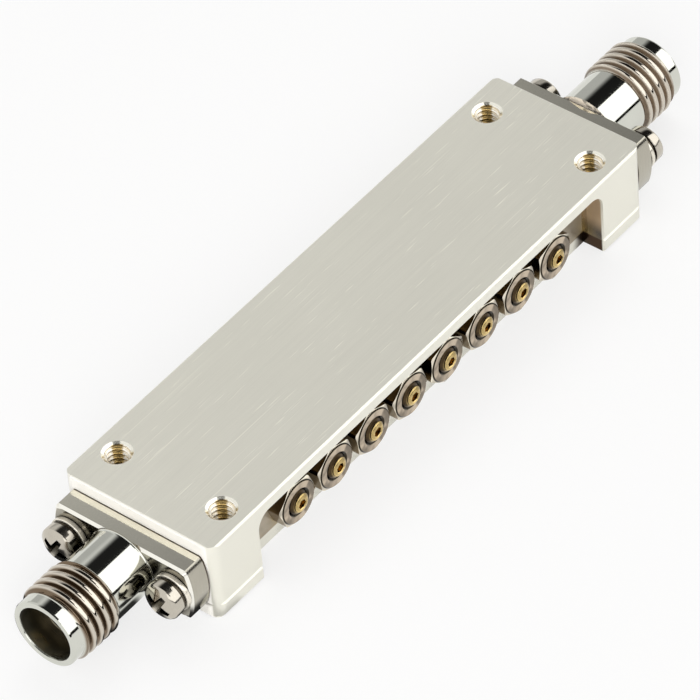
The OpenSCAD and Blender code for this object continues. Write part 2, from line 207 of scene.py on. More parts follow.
class Studio(PropertyGroup):
    """Camera, floor and lights."""
    azimuth: rotation("Azimuth", "Side that the camera looks from", -0.83823)
    elevation: rotation("Elevation", "Height that the camera looks from", 0.77429)
    roll: rotation("Roll", "Turn of the camera about its view", -0.09167)
    distance: length("Distance", "Distance from the camera to the block", 0.42352)
    pan_right: length("Pan right", "Shift of the aim to the right", -0.001115, -1.0)
    pan_up: length("Pan up", "Shift of the aim upwards", 0.001735, -1.0)
    lens: FloatProperty(name="Lens", description="Focal length in millimetres",
                        default=293.45, min=50)
    floor_light: FloatProperty(name="Floor light", description="Share of plain white in the floor",
                               default=0.72, min=0.0, max=1.0)
    columns: IntProperty(name="Columns", description="Columns round a port", default=96, min=24)


# Shader trees

class Value:
    """An output socket. Arithmetic on it adds the Math nodes of the expression."""

    def __init__(self, tree, socket):
        self.tree = tree
        self.socket = socket

    def _math(self, operation, *terms):
        return self.tree.add("ShaderNodeMath", {"operation": operation}, dict(enumerate(terms)))

    def __add__(self, other):
        return self._math("ADD", self, other)

    def __sub__(self, other):
        return self._math("SUBTRACT", self, other)

    def __rsub__(self, other):
        return self._math("SUBTRACT", other, self)

    def __mul__(self, other):
        return self._math("MULTIPLY", self, other)

    def __truediv__(self, other):
        return self._math("DIVIDE", self, other)

    def __rtruediv__(self, other):
        return self._math("DIVIDE", other, self)

    def __abs__(self):
        return self._math("ABSOLUTE", self)

    __radd__ = __add__
    __rmul__ = __mul__

    def swing(self, amount):
        """A pattern of 0 to 1 turned into half of this amount up and down."""
        return (self - 0.5) * amount


class Tree:
    """A node tree in the making."""

    def __init__(self, node_tree):
        self.nodes = node_tree.nodes
        self.links = node_tree.links
        self.nodes.clear()

    def add(self, kind, settings=None, inputs=None, output=0):
        """Adds a node: its settings first, then the values or links of its sockets."""
        node = self.nodes.new(kind)
        for name, setting in (settings or {}).items():
            setattr(node, name, setting)
        for name, given in (inputs or {}).items():
            self.feed(node.inputs[name], given)
        return Value(self, node.outputs[output]) if node.outputs else node

    def feed(self, socket, given):
        """Links an output to a socket, or sets the socket's own value."""
        if isinstance(given, Value):
            self.links.new(given.socket, socket)
        elif socket.type == "RGBA":
            socket.default_value = (*given, 1.0)
        else:
            socket.default_value = given

    def vector(self, operation, inputs, output=0):
        return self.add("ShaderNodeVectorMath", {"operation": operation}, inputs, output)

    def place(self):
        """Where a point is on its own object, in metres."""
        return self.add("ShaderNodeTexCoord", output="Object")

    def parts(self, vector):
        """The three numbers of a vector."""
        node = self.add("ShaderNodeSeparateXYZ", None, {0: vector}).socket.node
        return [Value(self, out) for out in node.outputs]

    def joined(self, x, y=0.0, z=0.0):
        return self.add("ShaderNodeCombineXYZ", None, {0: x, 1: y, 2: z})

    def scaled(self, vector, *factors):
        return self.vector("MULTIPLY", {0: vector, 1: factors})

    def moved(self, vector, *offset):
        return self.vector("ADD", {0: vector, 1: offset})

    def shaded(self, tone, value):
        """A colour times a number."""
        return self.vector("SCALE", {0: tone, "Scale": value})

    def reach(self, vector):
        """Length of a vector."""
        return self.vector("LENGTH", {0: vector}, "Value")

    def from_axis(self, place):
        """Distance from the local Z axis."""
        return self.reach(self.scaled(place, 1.0, 1.0, 0.0))

    def noise(self, vector, scale=1.0, detail=2.0, roughness=0.5):
        return self.add("ShaderNodeTexNoise", None, {
            "Vector": vector, "Scale": scale, "Detail": detail, "Roughness": roughness})

    def grain(self, place, stretch, detail=2.0, roughness=0.5):
        """Noise with its own scale in each direction."""
        return self.noise(self.scaled(place, *stretch), 1.0, detail, roughness)

    def rise(self, value, low, high, bottom=0.0, top=1.0):
        """A smooth step from bottom to top while value goes from low to high."""
        return self.add("ShaderNodeMapRange", {"interpolation_type": "SMOOTHSTEP"}, {
            "Value": value, "From Min": low, "From Max": high, "To Min": bottom, "To Max": top})

    def above(self, value, limit, soft):
        """1 where value is above the limit, fading to 0 within soft of it."""
        return self.rise(value, limit - soft, limit + soft)

    def below(self, value, limit, soft):
        """1 where value is below the limit, fading to 0 within soft of it."""
        return self.rise(value, limit + soft, limit - soft)

    def blend(self, factor, first, second):
        """Mixes two colours. The numbers are the Mix node's colour sockets."""
        return self.add("ShaderNodeMix", {"data_type": "RGBA"},
                        {"Factor": factor, 6: first, 7: second}, output=2)


class Finish(Tree):
    """A material round one Principled BSDF, whose steady values are set on its own sockets."""

    def __init__(self, name, **steady):
        self.material = new_material(name)
        super().__init__(self.material.node_tree)
        surface = self.add("ShaderNodeBsdfPrincipled")
        self.add("ShaderNodeOutputMaterial", None, {"Surface": surface})
        self.shader = surface.socket.node
        self.set(**steady)

    def set(self, **values):
        """Sets or links the shader's sockets: base_color sets Base Color."""
        for name, value in values.items():
            label = name.replace("_", " ").title().replace("Ior", "IOR")
            self.feed(self.shader.inputs[label], value)

    def facing(self):
        """The three numbers of the surface's local direction."""
        return self.parts(self.add("ShaderNodeTexCoord", output="Normal"))

    def open_to_air(self, distance, low, high):
        """0 in narrow corners, up to 1 where nothing stands within this distance."""
        sky = self.add("ShaderNodeAmbientOcclusion", {"samples": 8}, {"Distance": distance},
                       output="AO")
        return self.rise(sky, low, high)

    def bump(self, height, microns):
        """Dents the surface by this many microns where height goes from 0 to 1."""
        return self.add("ShaderNodeBump", None,
                        {"Strength": 1.0, "Distance": microns * MM * MM, "Height": height})


def new_material(name):
    material = bpy.data.materials.new(name)
    material.use_nodes = True
    return material


def plated_finish(tones):
    """Satin silver plating: brushed along the block above and below, plain on its sides, with
    painted shade in the side recess and in corners, painted light on the block's ends, and a
    painted reflection placed in the mounting holes.
    """
    f = Finish("silver_plating")
    place = f.place()
    x, y, z = f.parts(place)
    normal_x, _, normal_z = f.parts(f.add("ShaderNodeNewGeometry", output="Normal"))
    low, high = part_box("housing")
    edge = 0.0001
    level = f.above(abs(normal_z), 0.85, 0.10)
    end_wall = f.above(abs(normal_x), 0.45, 0.10)

    fine = f.grain(place, (110, 15000, 15000), 3.0, 0.6)
    cloud = f.noise(place, 110.0, 3.0, 0.55)
    grit = f.noise(place, 9000.0, 2.0, 0.6)
    # The level faces are brushed, and lifted a little brighter as painted light.
    shade = 1.0 + level * brushed_lines(f, place, fine) + cloud.swing(0.05) + grit.swing(0.03)

    recess_half, recess_depth, skin, lip = 0.02085, 0.0024, 0.000225, 0.001
    countersink, hole_wall, hole_top, end_skin = 0.00145, 0.001055, 0.00016, 0.00009
    in_recess = (f.above(y, low.y + skin, skin / 3)
                 * f.below(y, low.y + recess_depth, 2 * edge)
                 * f.below(abs(x), recess_half, edge / 2)
                 * f.below(z, high.z - lip, edge))
    # Painted shade: inside the side recess, and a little way down into the cover, the plating takes
    # the darker recess colour.
    behind = in_recess * f.above(z, low.z - 0.00025, edge / 2)
    tone = f.blend(behind, tones.plate, recess_tone(f, place, tones, end_wall))
    # Painted shade: at the ends of the side recess, the cover's notch below the housing takes the
    # dark seam colour.
    beside = f.above(abs(x), 0.0197, 0.0009)
    under = (in_recess * f.rise(end_wall + beside, 0.0, 1.0)
             * f.below(z, low.z - 0.00015, edge / 2))
    tone = f.blend(under, tone, tones.seam)
    # Painted light: the block's ends take a paler, less metallic copy of the plating.
    end_face = end_wall * f.above(abs(x), high.x - end_skin, end_skin / 3)
    tone = f.blend(end_face, tone, tones.end_face)

    # In the mounting holes: plated crests, with brass painted only on the side that faces the
    # camera, real brass placed as a painted reflection.
    from_hole, dark_reflection_strip = hole_place(f, place)
    cone = f.below(from_hole, countersink, edge / 2) * (1.0 - level)
    in_hole = f.below(from_hole, hole_wall, edge / 4) * f.below(z, high.z - hole_top, 0.00006)
    tone = f.blend(in_hole, tone, f.blend(dark_reflection_strip, tones.crest, tones.bare))
    # Painted shade: AO darkens narrow corners, less so inside the side recess.
    air = f.rise(f.open_to_air(0.0016, 0.10, 0.60) + behind * 0.8, 0.0, 1.0)
    tone = f.blend(air, tones.grime, tone)
    f.set(base_color=f.shaded(tone, shade),
          metallic=(0.5 + in_hole * 0.45 + under * 0.5 + cone * 0.35
                    - behind * end_wall * 0.15 - end_face * 0.5),
          roughness=(0.30 - cone * 0.15 + level * 0.08 + behind * 0.04
                     + level * fine.swing(0.12) + cloud.swing(0.06)),
          normal=f.bump(level * fine + (1.0 - level) * grit * 0.35, 1.2))
    return f.material


def brushed_lines(f, place, fine):
    """Brushing along the block, with scratches and short nicks, over a 3 percent painted lift in
    brightness.
    """
    broad = f.grain(place, (25, 2600, 2600))
    lines = f.grain(place, (40, 6500, 6500), 1.0, 0.4)
    scratch = f.rise(lines, 0.68, 0.76) * f.rise(f.noise(place, 130.0, 1.0), 0.45, 0.62)
    nicks = f.rise(f.grain(place, (360, 9500, 9500), 1.0, 0.4), 0.70, 0.78)
    return 0.03 + fine.swing(0.16) + broad.swing(0.05) + scratch * 0.20 + nicks * 0.24


def recess_tone(f, place, tones, end_wall):
    """The side recess: stained plating with painted shade, darkest under the lip, brown end walls
    with a painted shadow towards their foot, and painted shade tinted brown gold in its corners.
    """
    low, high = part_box("housing")
    z = f.parts(place)[2]
    stain = f.noise(place, 420.0, 3.0, 0.6)
    wall = f.blend(f.rise(stain, 0.3, 0.7), tones.recess, [c * 0.7 for c in tones.recess])
    # Painted shadow under the lip: darker at the top, lighter towards the bottom.
    wall = f.shaded(wall, f.rise(z, high.z - 0.001, low.z + 0.001, 0.45, 1.5))
    shadow = f.rise(z, low.z + 0.0003, low.z + 0.002, 0.12, 1.0)
    brown = f.shaded(tones.end_wall, shadow * (0.8 + stain * 0.4))
    # Painted shade in the corners, tinted brown gold as a painted reflection of the brass.
    return f.blend(f.open_to_air(0.003, 0.25, 0.6), tones.depths, f.blend(end_wall, wall, brown))


def hole_place(f, place):
    """Distance from the axis of the nearest mounting hole, and a mask of the strip of its wall that
    faces the camera, which carries a painted reflection.
    """
    x, y, _ = f.parts(f.moved(place, *[-c for c in MOUNT_HOLES["pos_m"]]))
    along, across = hole_spread()
    x = x - x / abs(x) * (along / 2)
    y = y - y / abs(y) * (across / 2)
    distance = f.reach(f.joined(x, y))
    # Level direction away from the camera: the strip lies on the wall that faces the camera.
    far_x, far_y = 0.743, 0.669
    facing = (x * far_x + y * far_y) / distance
    return distance, f.rise(facing, 0.84, 0.95)


def hole_spread():
    """Distances between the mounting holes along and across the block, in metres."""
    dims = MOUNT_HOLES["dims"]
    return dims["spacing_x_mm"] * MM, dims["spacing_y_mm"] * MM


def port_finish(tones, sizes, port):
    """Turned steel: polished barrel and nose, darker flange, brown tone deep in the thread, painted
    highlights on the flange's bevel and under the barrel's foot, and painted shade in corners and
    down in the socket.
    """
    f = Finish("port_steel_" + port)
    place = f.place()
    z = f.parts(place)[2]
    radius = f.from_axis(place)
    facing_x, _, facing_z = f.facing()
    low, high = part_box(port + "_connector")
    end = high.x - low.x
    edge, seam, foot, shine = 0.0002, 0.00012, 0.0011, 0.0014
    stop = sizes.thread_start + sizes.thread_length
    on_flange = f.below(z, sizes.flange_thickness + 0.000035, 0.000015)
    on_thread = f.rise(z, sizes.thread_start, sizes.thread_start + edge) * f.rise(
        z, stop, stop - edge)
    deep = on_thread * f.below(radius, sizes.thread_radius - 0.000105, 0.000075)
    inside = f.below(radius, sizes.socket_radius + 0.000035, 0.000025) * (1.0 - on_flange)
    cloud = f.noise(place, 500.0, 3.0, 0.6)
    turned_rings = f.grain(place, (300, 300, 16000))
    milled = f.grain(place, (600, 6000, 9000))

    # Painted highlight: the flange's front bevel, and faces that lean the same way, take the bright
    # edge colour.
    bevel = f.rise(facing_z, 0.5, 0.6) * f.rise(facing_z, 0.86, 0.8)
    tone = f.blend(bevel, tones.flange, tones.edge)
    # Painted shade in corners, such as the barrel's sides by the flange.
    tone = f.blend(f.open_to_air(0.003, 0.2, 0.9), tones.grime, tone)
    flat = f.above(abs(facing_x), 0.98, 0.01)
    tone = f.blend(flat, tone, tones.flat)
    tone = f.blend(f.below(z, seam, seam / 3), tone, tones.seam)
    # Painted highlight and reflection: the underside of the barrel's foot over the flats turns pale
    # and nearly matt, with darker patches.
    lip = f.above(z, foot, edge / 2) * f.rise(facing_z, -0.5, -0.7)
    patches = f.rise(f.noise(place, 1500.0), 0.35, 0.5, 0.4, 1.15)
    tone = f.blend(lip, tone, f.shaded(tones.lip, patches))
    tone = f.blend(on_flange, tones.steel, tone)
    tone = f.blend(on_thread, tone, tones.thread_steel)
    tone = f.blend(deep * (0.75 + cloud * 0.5), tone, tones.groove)
    # Painted shade down in the socket, fading to plain steel towards its mouth.
    lit = f.rise(z, end - shine, end - edge / 2)
    tone = f.blend(inside, tone, f.blend(lit, tones.socket, tones.steel))
    f.set(base_color=f.shaded(tone, 1.0 + cloud.swing(0.10) + on_flange * milled.swing(0.10)),
          metallic=1.0 - lip * 0.9,
          roughness=(0.08 + on_flange * (0.06 - flat * 0.07) + deep * 0.05 + inside * 0.2
                     + cloud.swing(0.05) + turned_rings.swing(0.04)),
          normal=f.bump(turned_rings * (1.0 - on_flange) + milled * on_flange, 0.5))
    return f.material


def nut_finish(tones, sizes):
    """Turned steel: rings on the nut's face with wedges of painted highlight, a painted highlight
    on the chamfers, and painted shade on the flats, in the face's step, round the bore and in
    corners.
    """
    f = Finish("nut_steel", metallic=1.0)
    place = f.place()
    radius = f.from_axis(place)
    normal_z = f.facing()[2]
    face = f.rise(normal_z, 0.8, 0.97)
    rings = f.noise(f.joined(radius * 26000.0), 1.0, 2.0, 0.6)
    cloud = f.noise(place, 700.0, 3.0, 0.6)
    pits = f.noise(place, 5200.0)
    # Painted highlight: bright and dark wedges round the face stand in for the reflection on the
    # turned face.
    highlight_wedge = f.noise(f.shaded(place, 1.6 / radius), 1.0, 1.0)
    shine = f.rise(highlight_wedge, 0.35, 0.65, -0.35, 0.70)

    soft = 0.00002
    foot = sizes.nut_face + 0.0001
    step = f.above(radius, sizes.nut_face, soft) * f.below(radius, foot, soft)
    bore = f.below(radius, sizes.screw_radius + 0.000175, 0.000025)
    # Painted highlight: beyond the step, the chamfers take the bright chamfer colour.
    tone = f.blend(f.above(radius, foot, soft), tones.nut, tones.nut_edge)
    # Painted shade: faces that turn sideways, the flats, take the dark flank colour.
    tone = f.blend(f.rise(normal_z, 0.5, 0.3), tone, tones.nut_side)
    # Painted shade in the face's step, round the bore and in corners.
    tone = f.blend(step + bore, tone, tones.grime)
    tone = f.blend(f.open_to_air(0.0015, 0.10, 0.70), tones.grime, tone)
    f.set(base_color=f.shaded(tone, 1.0 + face * (rings.swing(0.4) + shine) + cloud.swing(0.5)),
          roughness=0.18 + cloud.swing(0.16) + face * rings.swing(0.08),
          normal=f.bump(rings * face + pits * 0.4, 1.2))
    return f.material


def screw_finish(tones, name, tone, roughness, corner=0.002, metallic=1.0):
    """Bright screws and washers, with handling marks, and painted shade in corners of this width.
    """
    f = Finish(name, metallic=metallic)
    place = f.place()
    cloud = f.noise(place, 900.0, 3.0, 0.6)
    marks = f.grain(place, (9000, 9000, 2200))
    # Painted shade in corners.
    tone = f.blend(f.open_to_air(corner, 0.35, 0.92), tones.grime, tone)
    f.set(base_color=f.shaded(tone, 1.0 + cloud.swing(0.20) + marks.swing(0.08)),
          roughness=roughness + cloud.swing(0.10) + marks.swing(0.05),
          normal=f.bump(marks, 0.7))
    return f.material


def brass_finish(name, tone, roughness):
    """Gilt brass, darker where it has been handled."""
    f = Finish(name, metallic=1.0)
    place = f.place()
    cloud = f.noise(place, 1100.0, 3.0, 0.6)
    fine = f.grain(place, (6000, 6000, 14000))
    handled = [c * share for c, share in zip(tone, (0.82, 0.72, 0.6))]
    worn = f.blend(f.rise(cloud, 0.35, 0.7), tone, handled)
    f.set(base_color=f.shaded(worn, 1.0 + fine.swing(0.14)),
          roughness=roughness + cloud.swing(0.12),
          normal=f.bump(fine, 0.9))
    return f.material


def tuner_finish(tones, sizes):
    """Tuning screws: gilt on the end face and in the socket, with painted shade on the thread."""
    f = Finish("tuner_brass", metallic=1.0)
    place = f.place()
    z = f.parts(place)[2]
    low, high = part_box("tuning_screw_1")
    long = high.y - low.y
    socket, floor, crown = 0.000525, 0.00135, 0.0001
    near_end = f.rise(z, long - sizes.screw_chamfer, long - crown)
    in_socket = f.below(f.from_axis(place), socket, 0.000025) * f.above(z, long - floor, 0.00015)
    end = f.rise(f.rise(f.facing()[2], 0.3, 0.5) * near_end + in_socket, 0.0, 1.0)
    cloud = f.noise(place, 1100.0, 3.0, 0.6)
    cut_marks = f.noise(place, 9000.0)
    shade = f.rise(cloud, 0.35, 0.65, 0.6, 1.35) + cut_marks.swing(0.15)
    f.set(base_color=f.shaded(f.blend(end, tones.thread, tones.brass), shade),
          roughness=0.30 - end * 0.16 + cloud.swing(0.10),
          normal=f.bump(cut_marks + cloud * 2.0, 4.0))
    return f.material


def hole_thread_finish(tones, sizes):
    """Threads of the mounting holes: plated, with brass down the side that faces the camera, placed
    there as a painted reflection.
    """
    f = Finish("hole_thread")
    place = f.place()
    from_hole, dark_reflection_strip = hole_place(f, place)
    deep = f.above(from_hole, sizes.hole_crest + 0.00006, 0.00004)
    cloud = f.noise(place, 1500.0, 3.0, 0.6)
    tone = f.blend(deep, tones.crest, tones.hole)
    tone = f.blend(dark_reflection_strip, tone, f.shaded(tones.bare, 1.25 - deep * 0.6))
    f.set(base_color=f.shaded(tone, 0.85 + cloud * 0.3),
          metallic=0.45 + dark_reflection_strip * 0.3,
          roughness=0.24 + cloud.swing(0.12),
          normal=f.bump(cloud, 0.8))
    return f.material


def plastic_finish(name, tone, roughness):
    """Machined insulator with faint tool marks."""
    f = Finish(name, specular_ior_level=0.4)
    place = f.place()
    cloud = f.noise(place, 800.0, 3.0, 0.6)
    marks = f.grain(place, (9000, 1500, 1500))
    f.set(base_color=f.shaded(tone, 0.94 + cloud * 0.12),
          roughness=roughness + marks.swing(0.12),
          normal=f.bump(marks, 1.0))
    return f.material


# Mesh code, in millimetres

# How a thread's form goes through one pitch: share of the pitch, and height from root to crest
THREAD_FORM = ((0.0, 1.0), (0.08, 0.995), (0.14, 0.96), (0.20, 0.87), (0.26, 0.70), (0.32, 0.46),
               (0.38, 0.22), (0.44, 0.06), (0.5, 0.0), (0.56, 0.06), (0.62, 0.22), (0.68, 0.46),
               (0.74, 0.70), (0.80, 0.87), (0.86, 0.96), (0.92, 0.995))


def in_mm(group):
    """The sizes of a property group in millimetres, and its angles as they are."""
    kinds = group.bl_rna.properties
    return SimpleNamespace(**{
        name: getattr(group, name) / (MM if kinds[name].unit == "LENGTH" else 1)
        for name in type(group).__annotations__})


def angles(count, *marks):
    """Even angles round a circle, with the nearest ones moved onto the marks."""
    turns = [2 * math.pi * i / count for i in range(count)]
    for mark in marks:
        mark %= 2 * math.pi
        nearest = min(range(count), key=lambda i: abs(turns[i] - mark))
        turns[nearest] = mark
    return turns


def ring(turns, reach, height):
    """Points round the axis. Radius and height may follow the angle, and a radius of 0 gives one
    point."""
    if reach == 0:
        return [(0, 0, height)]
    points = []
    for turn in turns:
        radius = reach(turn) if callable(reach) else reach
        z = height(turn) if callable(height) else height
        points.append((radius * math.cos(turn), radius * math.sin(turn), z))
    return points


def between(rings):
    """Faces that join each ring to the next. A ring of one point closes the surface."""
    faces = []
    for near, far in zip(rings, rings[1:]):
        count = max(len(near), len(far))
        for i in range(count):
            j = (i + 1) % count
            corners = [near[i % len(near)], near[j % len(near)], far[j % len(far)],
                       far[i % len(far)]]
            kept = [p for n, p in enumerate(corners) if p not in corners[:n]]
            if len(kept) > 2:
                faces.append(kept)
    return faces


def turned(turns, *profile):
    """Faces of a turned shape, whose profile is pairs of radius and height."""
    return between([ring(turns, reach, height) for reach, height in profile])


def hexagon(across, corner=0.0, turn=0.0):
    """Radius of a hexagon's outline at an angle, with its corners rounded off."""
    half = across / 2
    cap = half / math.cos(math.pi / 6) - corner

    def reach(angle):
        part = (angle - turn + math.pi / 6) % (math.pi / 3) - math.pi / 6
        return min(half / math.cos(part), cap)
    return reach


def helix(turns, start, end, pitch, base, depth, run_out):
    """Faces of a screw thread from start to end. base(z) is the crest's radius, and a
    negative depth makes a nut's thread. Rows follow the helix, and both ends are plain rings."""
    rows = []
    for k in range(int(math.ceil((end - start) / pitch)) + 2):
        rows += [(start + pitch * (k - 1 + phase), form) for phase, form in THREAD_FORM]
    shift = len(THREAD_FORM)
    last = len(rows) - 1

    def point(column, row):
        if column == len(turns):
            column, row = 0, min(row + shift, last)
        turn = turns[column]
        z, form = rows[row]
        z = min(max(z + pitch * turn / (2 * math.pi), start), end)
        fade = min(1.0, (z - start) / run_out, (end - z) / run_out)
        radius = base(z) - depth * (1 - form) * fade
        return (radius * math.cos(turn), radius * math.sin(turn), z)

    faces = []
    for column in range(len(turns)):
        for row in range(last):
            faces.append([point(column, row), point(column + 1, row),
                          point(column + 1, row + 1), point(column, row + 1)])
    return faces


def mesh_from(name, faces, matrices=(Matrix.Identity(4),)):
    """A clean mesh in metres from loose faces in millimetres, once for each matrix."""
    same_point = 0.0002
    bm = bmesh.new()
    for matrix in matrices:
        for face in faces:
            bm.faces.new([bm.verts.new(matrix @ Vector(p)) for p in face])
    bmesh.ops.remove_doubles(bm, verts=bm.verts, dist=same_point)
    bmesh.ops.dissolve_degenerate(bm, edges=bm.edges, dist=same_point)
    bmesh.ops.recalc_face_normals(bm, faces=bm.faces)
    bmesh.ops.scale(bm, vec=(MM, MM, MM), verts=bm.verts)
    mesh = bpy.data.meshes.new(name)
    bm.to_mesh(mesh)
    bm.free()
    smooth(mesh)
    return mesh


def smooth(mesh, limit=32):
    """Smooth shading with sharp edges kept."""
    mesh.polygons.foreach_set("use_smooth", [True] * len(mesh.polygons))
    mesh.set_sharp_from_angle(angle=math.radians(limit))
    mesh.update()


def add_object(name, data):
    """A new object in the scene."""
    obj = bpy.data.objects.new(name, data)
    bpy.context.scene.collection.objects.link(obj)
    return obj


def cut(mesh, cutter):
    """Cuts one mesh out of another and returns the result as a new mesh."""
    body = add_object("cut_body", mesh)
    tool = add_object("cut_tool", cutter)
    modifier = body.modifiers.new("cut", "BOOLEAN")
    modifier.operation = "DIFFERENCE"
    modifier.solver = "EXACT"
    modifier.object = tool
    depsgraph = bpy.context.evaluated_depsgraph_get()
    result = bpy.data.meshes.new_from_object(body.evaluated_get(depsgraph))
    for obj in (body, tool):
        bpy.data.objects.remove(obj)
    smooth(result)
    return result


def add_piece(name, mesh, material, body, nodes=(), matrix=Matrix.Identity(4)):
    """Puts a piece in the scene, on the body that carries it."""
    piece = add_object(name, mesh)
    mesh.materials.clear()
    mesh.materials.append(material)
    piece.matrix_world = matrix
    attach(piece, body)
    if nodes:
        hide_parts(*nodes)


def paint(node, material):
    """Gives a CAD node its material."""
    mesh = frame["nodes"][node].data
    if mesh.materials:
        mesh.materials[0] = material
    else:
        mesh.materials.append(material)


def port_matrix(port):
    """Local Z runs out of the block along a port's axis, from the block's end face."""
    low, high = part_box(port + "_connector")
    side = 1 if port == "output" else -1
    start = low.x if side > 0 else high.x
    turn = Matrix.Rotation(side * math.pi / 2, 4, "Y")
    return Matrix.Translation((start, (low.y + high.y) / 2, (low.z + high.z) / 2)) @ turn


def side_matrix(node):
    """Local Z runs out of the side recess along a node's axis, from its inner end."""
    low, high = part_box(node)
    start = Matrix.Translation(((low.x + high.x) / 2, high.y, (low.z + high.z) / 2))
    return start @ Matrix.Rotation(math.pi / 2, 4, "X")


def row_of(kind, turns):
    """Number, node, length in millimetres and turn of each piece of a kind in the recess."""
    for i in range(1, TUNER_COUNT + 1):
        node = "%s_%d" % (kind, i)
        low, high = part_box(node)
        yield i, node, (high.y - low.y) / MM, math.radians(turns[(i - 1) % len(turns)])


def millimetres(matrix):
    """The same placement, for points in millimetres."""
    result = matrix.copy()
    result.translation = matrix.translation / MM
    return result


# Operators

class FILTER_OT_block(Operator):
    """Finish the housing, the cover and the cover's screws"""
    bl_idname = "filter.block"
    bl_label = "Block"

    def execute(self, context):
        tones = context.scene.filter_finishes
        plating = plated_finish(tones)
        paint("housing", plating)
        paint("cover_plate", plating)
        paint("cover_screws", screw_finish(tones, "cover_screw_steel", tones.screw, 0.22))
        return {"FINISHED"}


class FILTER_OT_mounting_threads(Operator):
    """Build the threads in the mounting holes"""
    bl_idname = "filter.mounting_threads"
    bl_label = "Mounting threads"

    def execute(self, context):
        scene = context.scene
        s = in_mm(scene.filter_fasteners)
        turns = angles(48)
        clear, bed, run_out = 0.004, 0.02, 0.12
        radius = s.hole_radius - clear
        root = radius - bed
        top = -s.hole_start - 0.01
        bottom = -s.hole_depth + clear
        faces = helix(turns, bottom, top, s.hole_pitch, lambda z: root, root - s.hole_crest,
                      run_out)
        faces += turned(turns, (root, bottom), (radius, bottom), (radius, top), (root, top))
        along, across = (gap / 2 / MM for gap in hole_spread())
        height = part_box("housing")[1].z / MM
        places = [Matrix.Translation((x, y, height))
                  for x in (-along, along) for y in (-across, across)]
        add_piece("mounting_threads", mesh_from("mounting_threads", faces, places),
                  hole_thread_finish(scene.filter_finishes, scene.filter_fasteners),
                  "filter")
        return {"FINISHED"}


class FILTER_OT_ports(Operator):
    """Build both coaxial ports with their threads"""
    bl_idname = "filter.ports"
    bl_label = "Ports"

    def execute(self, context):
        scene = context.scene
        for port in PORTS:
            finish = port_finish(scene.filter_finishes, scene.filter_ports, port)
            add_piece(port + "_port", self.shell(scene, port), finish, "filter",
                      [port + "_connector"], port_matrix(port))
        return {"FINISHED"}

    def shell(self, scene, port):
        """The whole turned shell of a port, with its flats and its screw holes."""
        p = in_mm(scene.filter_ports)
        low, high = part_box(port + "_connector")
        end = (high.x - low.x) / MM
        flat = p.flange_height / 2
        corner = math.asin(flat / p.flange_radius)
        # The flats lie above and below, which is local X
        marks = [math.pi / 2 + side * (math.pi / 2 - corner) + half_turn
                 for side in (-1, 1) for half_turn in (0, math.pi)]
        turns = angles(scene.filter_studio.columns, *marks)

        def flange(inset):
            def reach(angle):
                limit = (flat - inset) / max(abs(math.cos(angle)), 1e-9)
                return min(p.flange_radius - inset, limit)
            return reach

        thick, bevel = p.flange_thickness, p.flange_bevel
        barrel, foot = p.barrel_radius, p.foot_radius
        start, stop = p.thread_start, p.thread_start + p.thread_length
        nose, rim, rim_soft = p.nose_radius, p.nose_bevel, p.nose_bevel * 0.3
        socket, mating = p.socket_radius, end - p.socket_depth
        line, bead, shelf = p.line_radius, p.bead_radius, p.bead_depth
        # Rings this far from an edge keep its shading crisp
        hold, soft, run_out, fillet_steps = 0.04, 0.05, 0.3, 6

        def base(z):
            return min(p.thread_radius, barrel + z - start, nose + stop - z)

        bends = [math.pi / 2 * i / fillet_steps for i in range(1, fillet_steps + 1)]
        fillet = [(barrel + foot - foot * math.sin(a), thick + foot - foot * math.cos(a))
                  for a in bends]
        faces = turned(turns, (bead, 0), (flange(hold), 0), (flange(0), hold),
                       (flange(0), thick - bevel), (flange(bevel), thick),
                       (barrel + foot, thick), *fillet, (barrel, thick + foot + hold),
                       (barrel, start - hold), (barrel, start))
        faces += helix(turns, start, stop, p.thread_pitch, base, p.thread_depth, run_out)
        faces += turned(turns, (nose, stop), (nose, stop + hold), (nose, end - rim - hold),
                        (nose, end - rim), (nose - rim_soft, end - rim_soft), (nose - rim, end),
                        (socket + rim, end), (socket + rim_soft, end - rim_soft),
                        (socket, end - rim), (socket, end - rim - hold), (socket, mating),
                        (line + soft, mating), (line, mating - soft), (line, shelf),
                        (bead, shelf), (bead, 0))
        s = in_mm(scene.filter_fasteners)
        clearance, past = 0.1, 1
        around = s.screw_radius + clearance
        drill = turned(angles(40), (0, -past), (around, -past), (around, thick + past),
                       (0, thick + past))
        drills = [Matrix.Translation((0, side * s.row, 0)) for side in (-1, 1)]
        return cut(mesh_from(port + "_port", faces), mesh_from("drills", drill, drills))


class FILTER_OT_port_inner(Operator):
    """Finish the centre contacts, the beads and the sleeves"""
    bl_idname = "filter.port_inner"
    bl_label = "Contacts and insulators"

    def execute(self, context):
        tones = context.scene.filter_finishes
        gold = brass_finish("contact_gold", tones.gold, 0.18)
        bead = plastic_finish("bead_plastic", tones.bead, 0.45)
        sleeve = plastic_finish("sleeve_plastic", tones.sleeve, 0.4)
        for port in PORTS:
            paint(port + "_contact", gold)
            paint(port + "_bead", bead)
            paint(port + "_sleeve", sleeve)
        return {"FINISHED"}


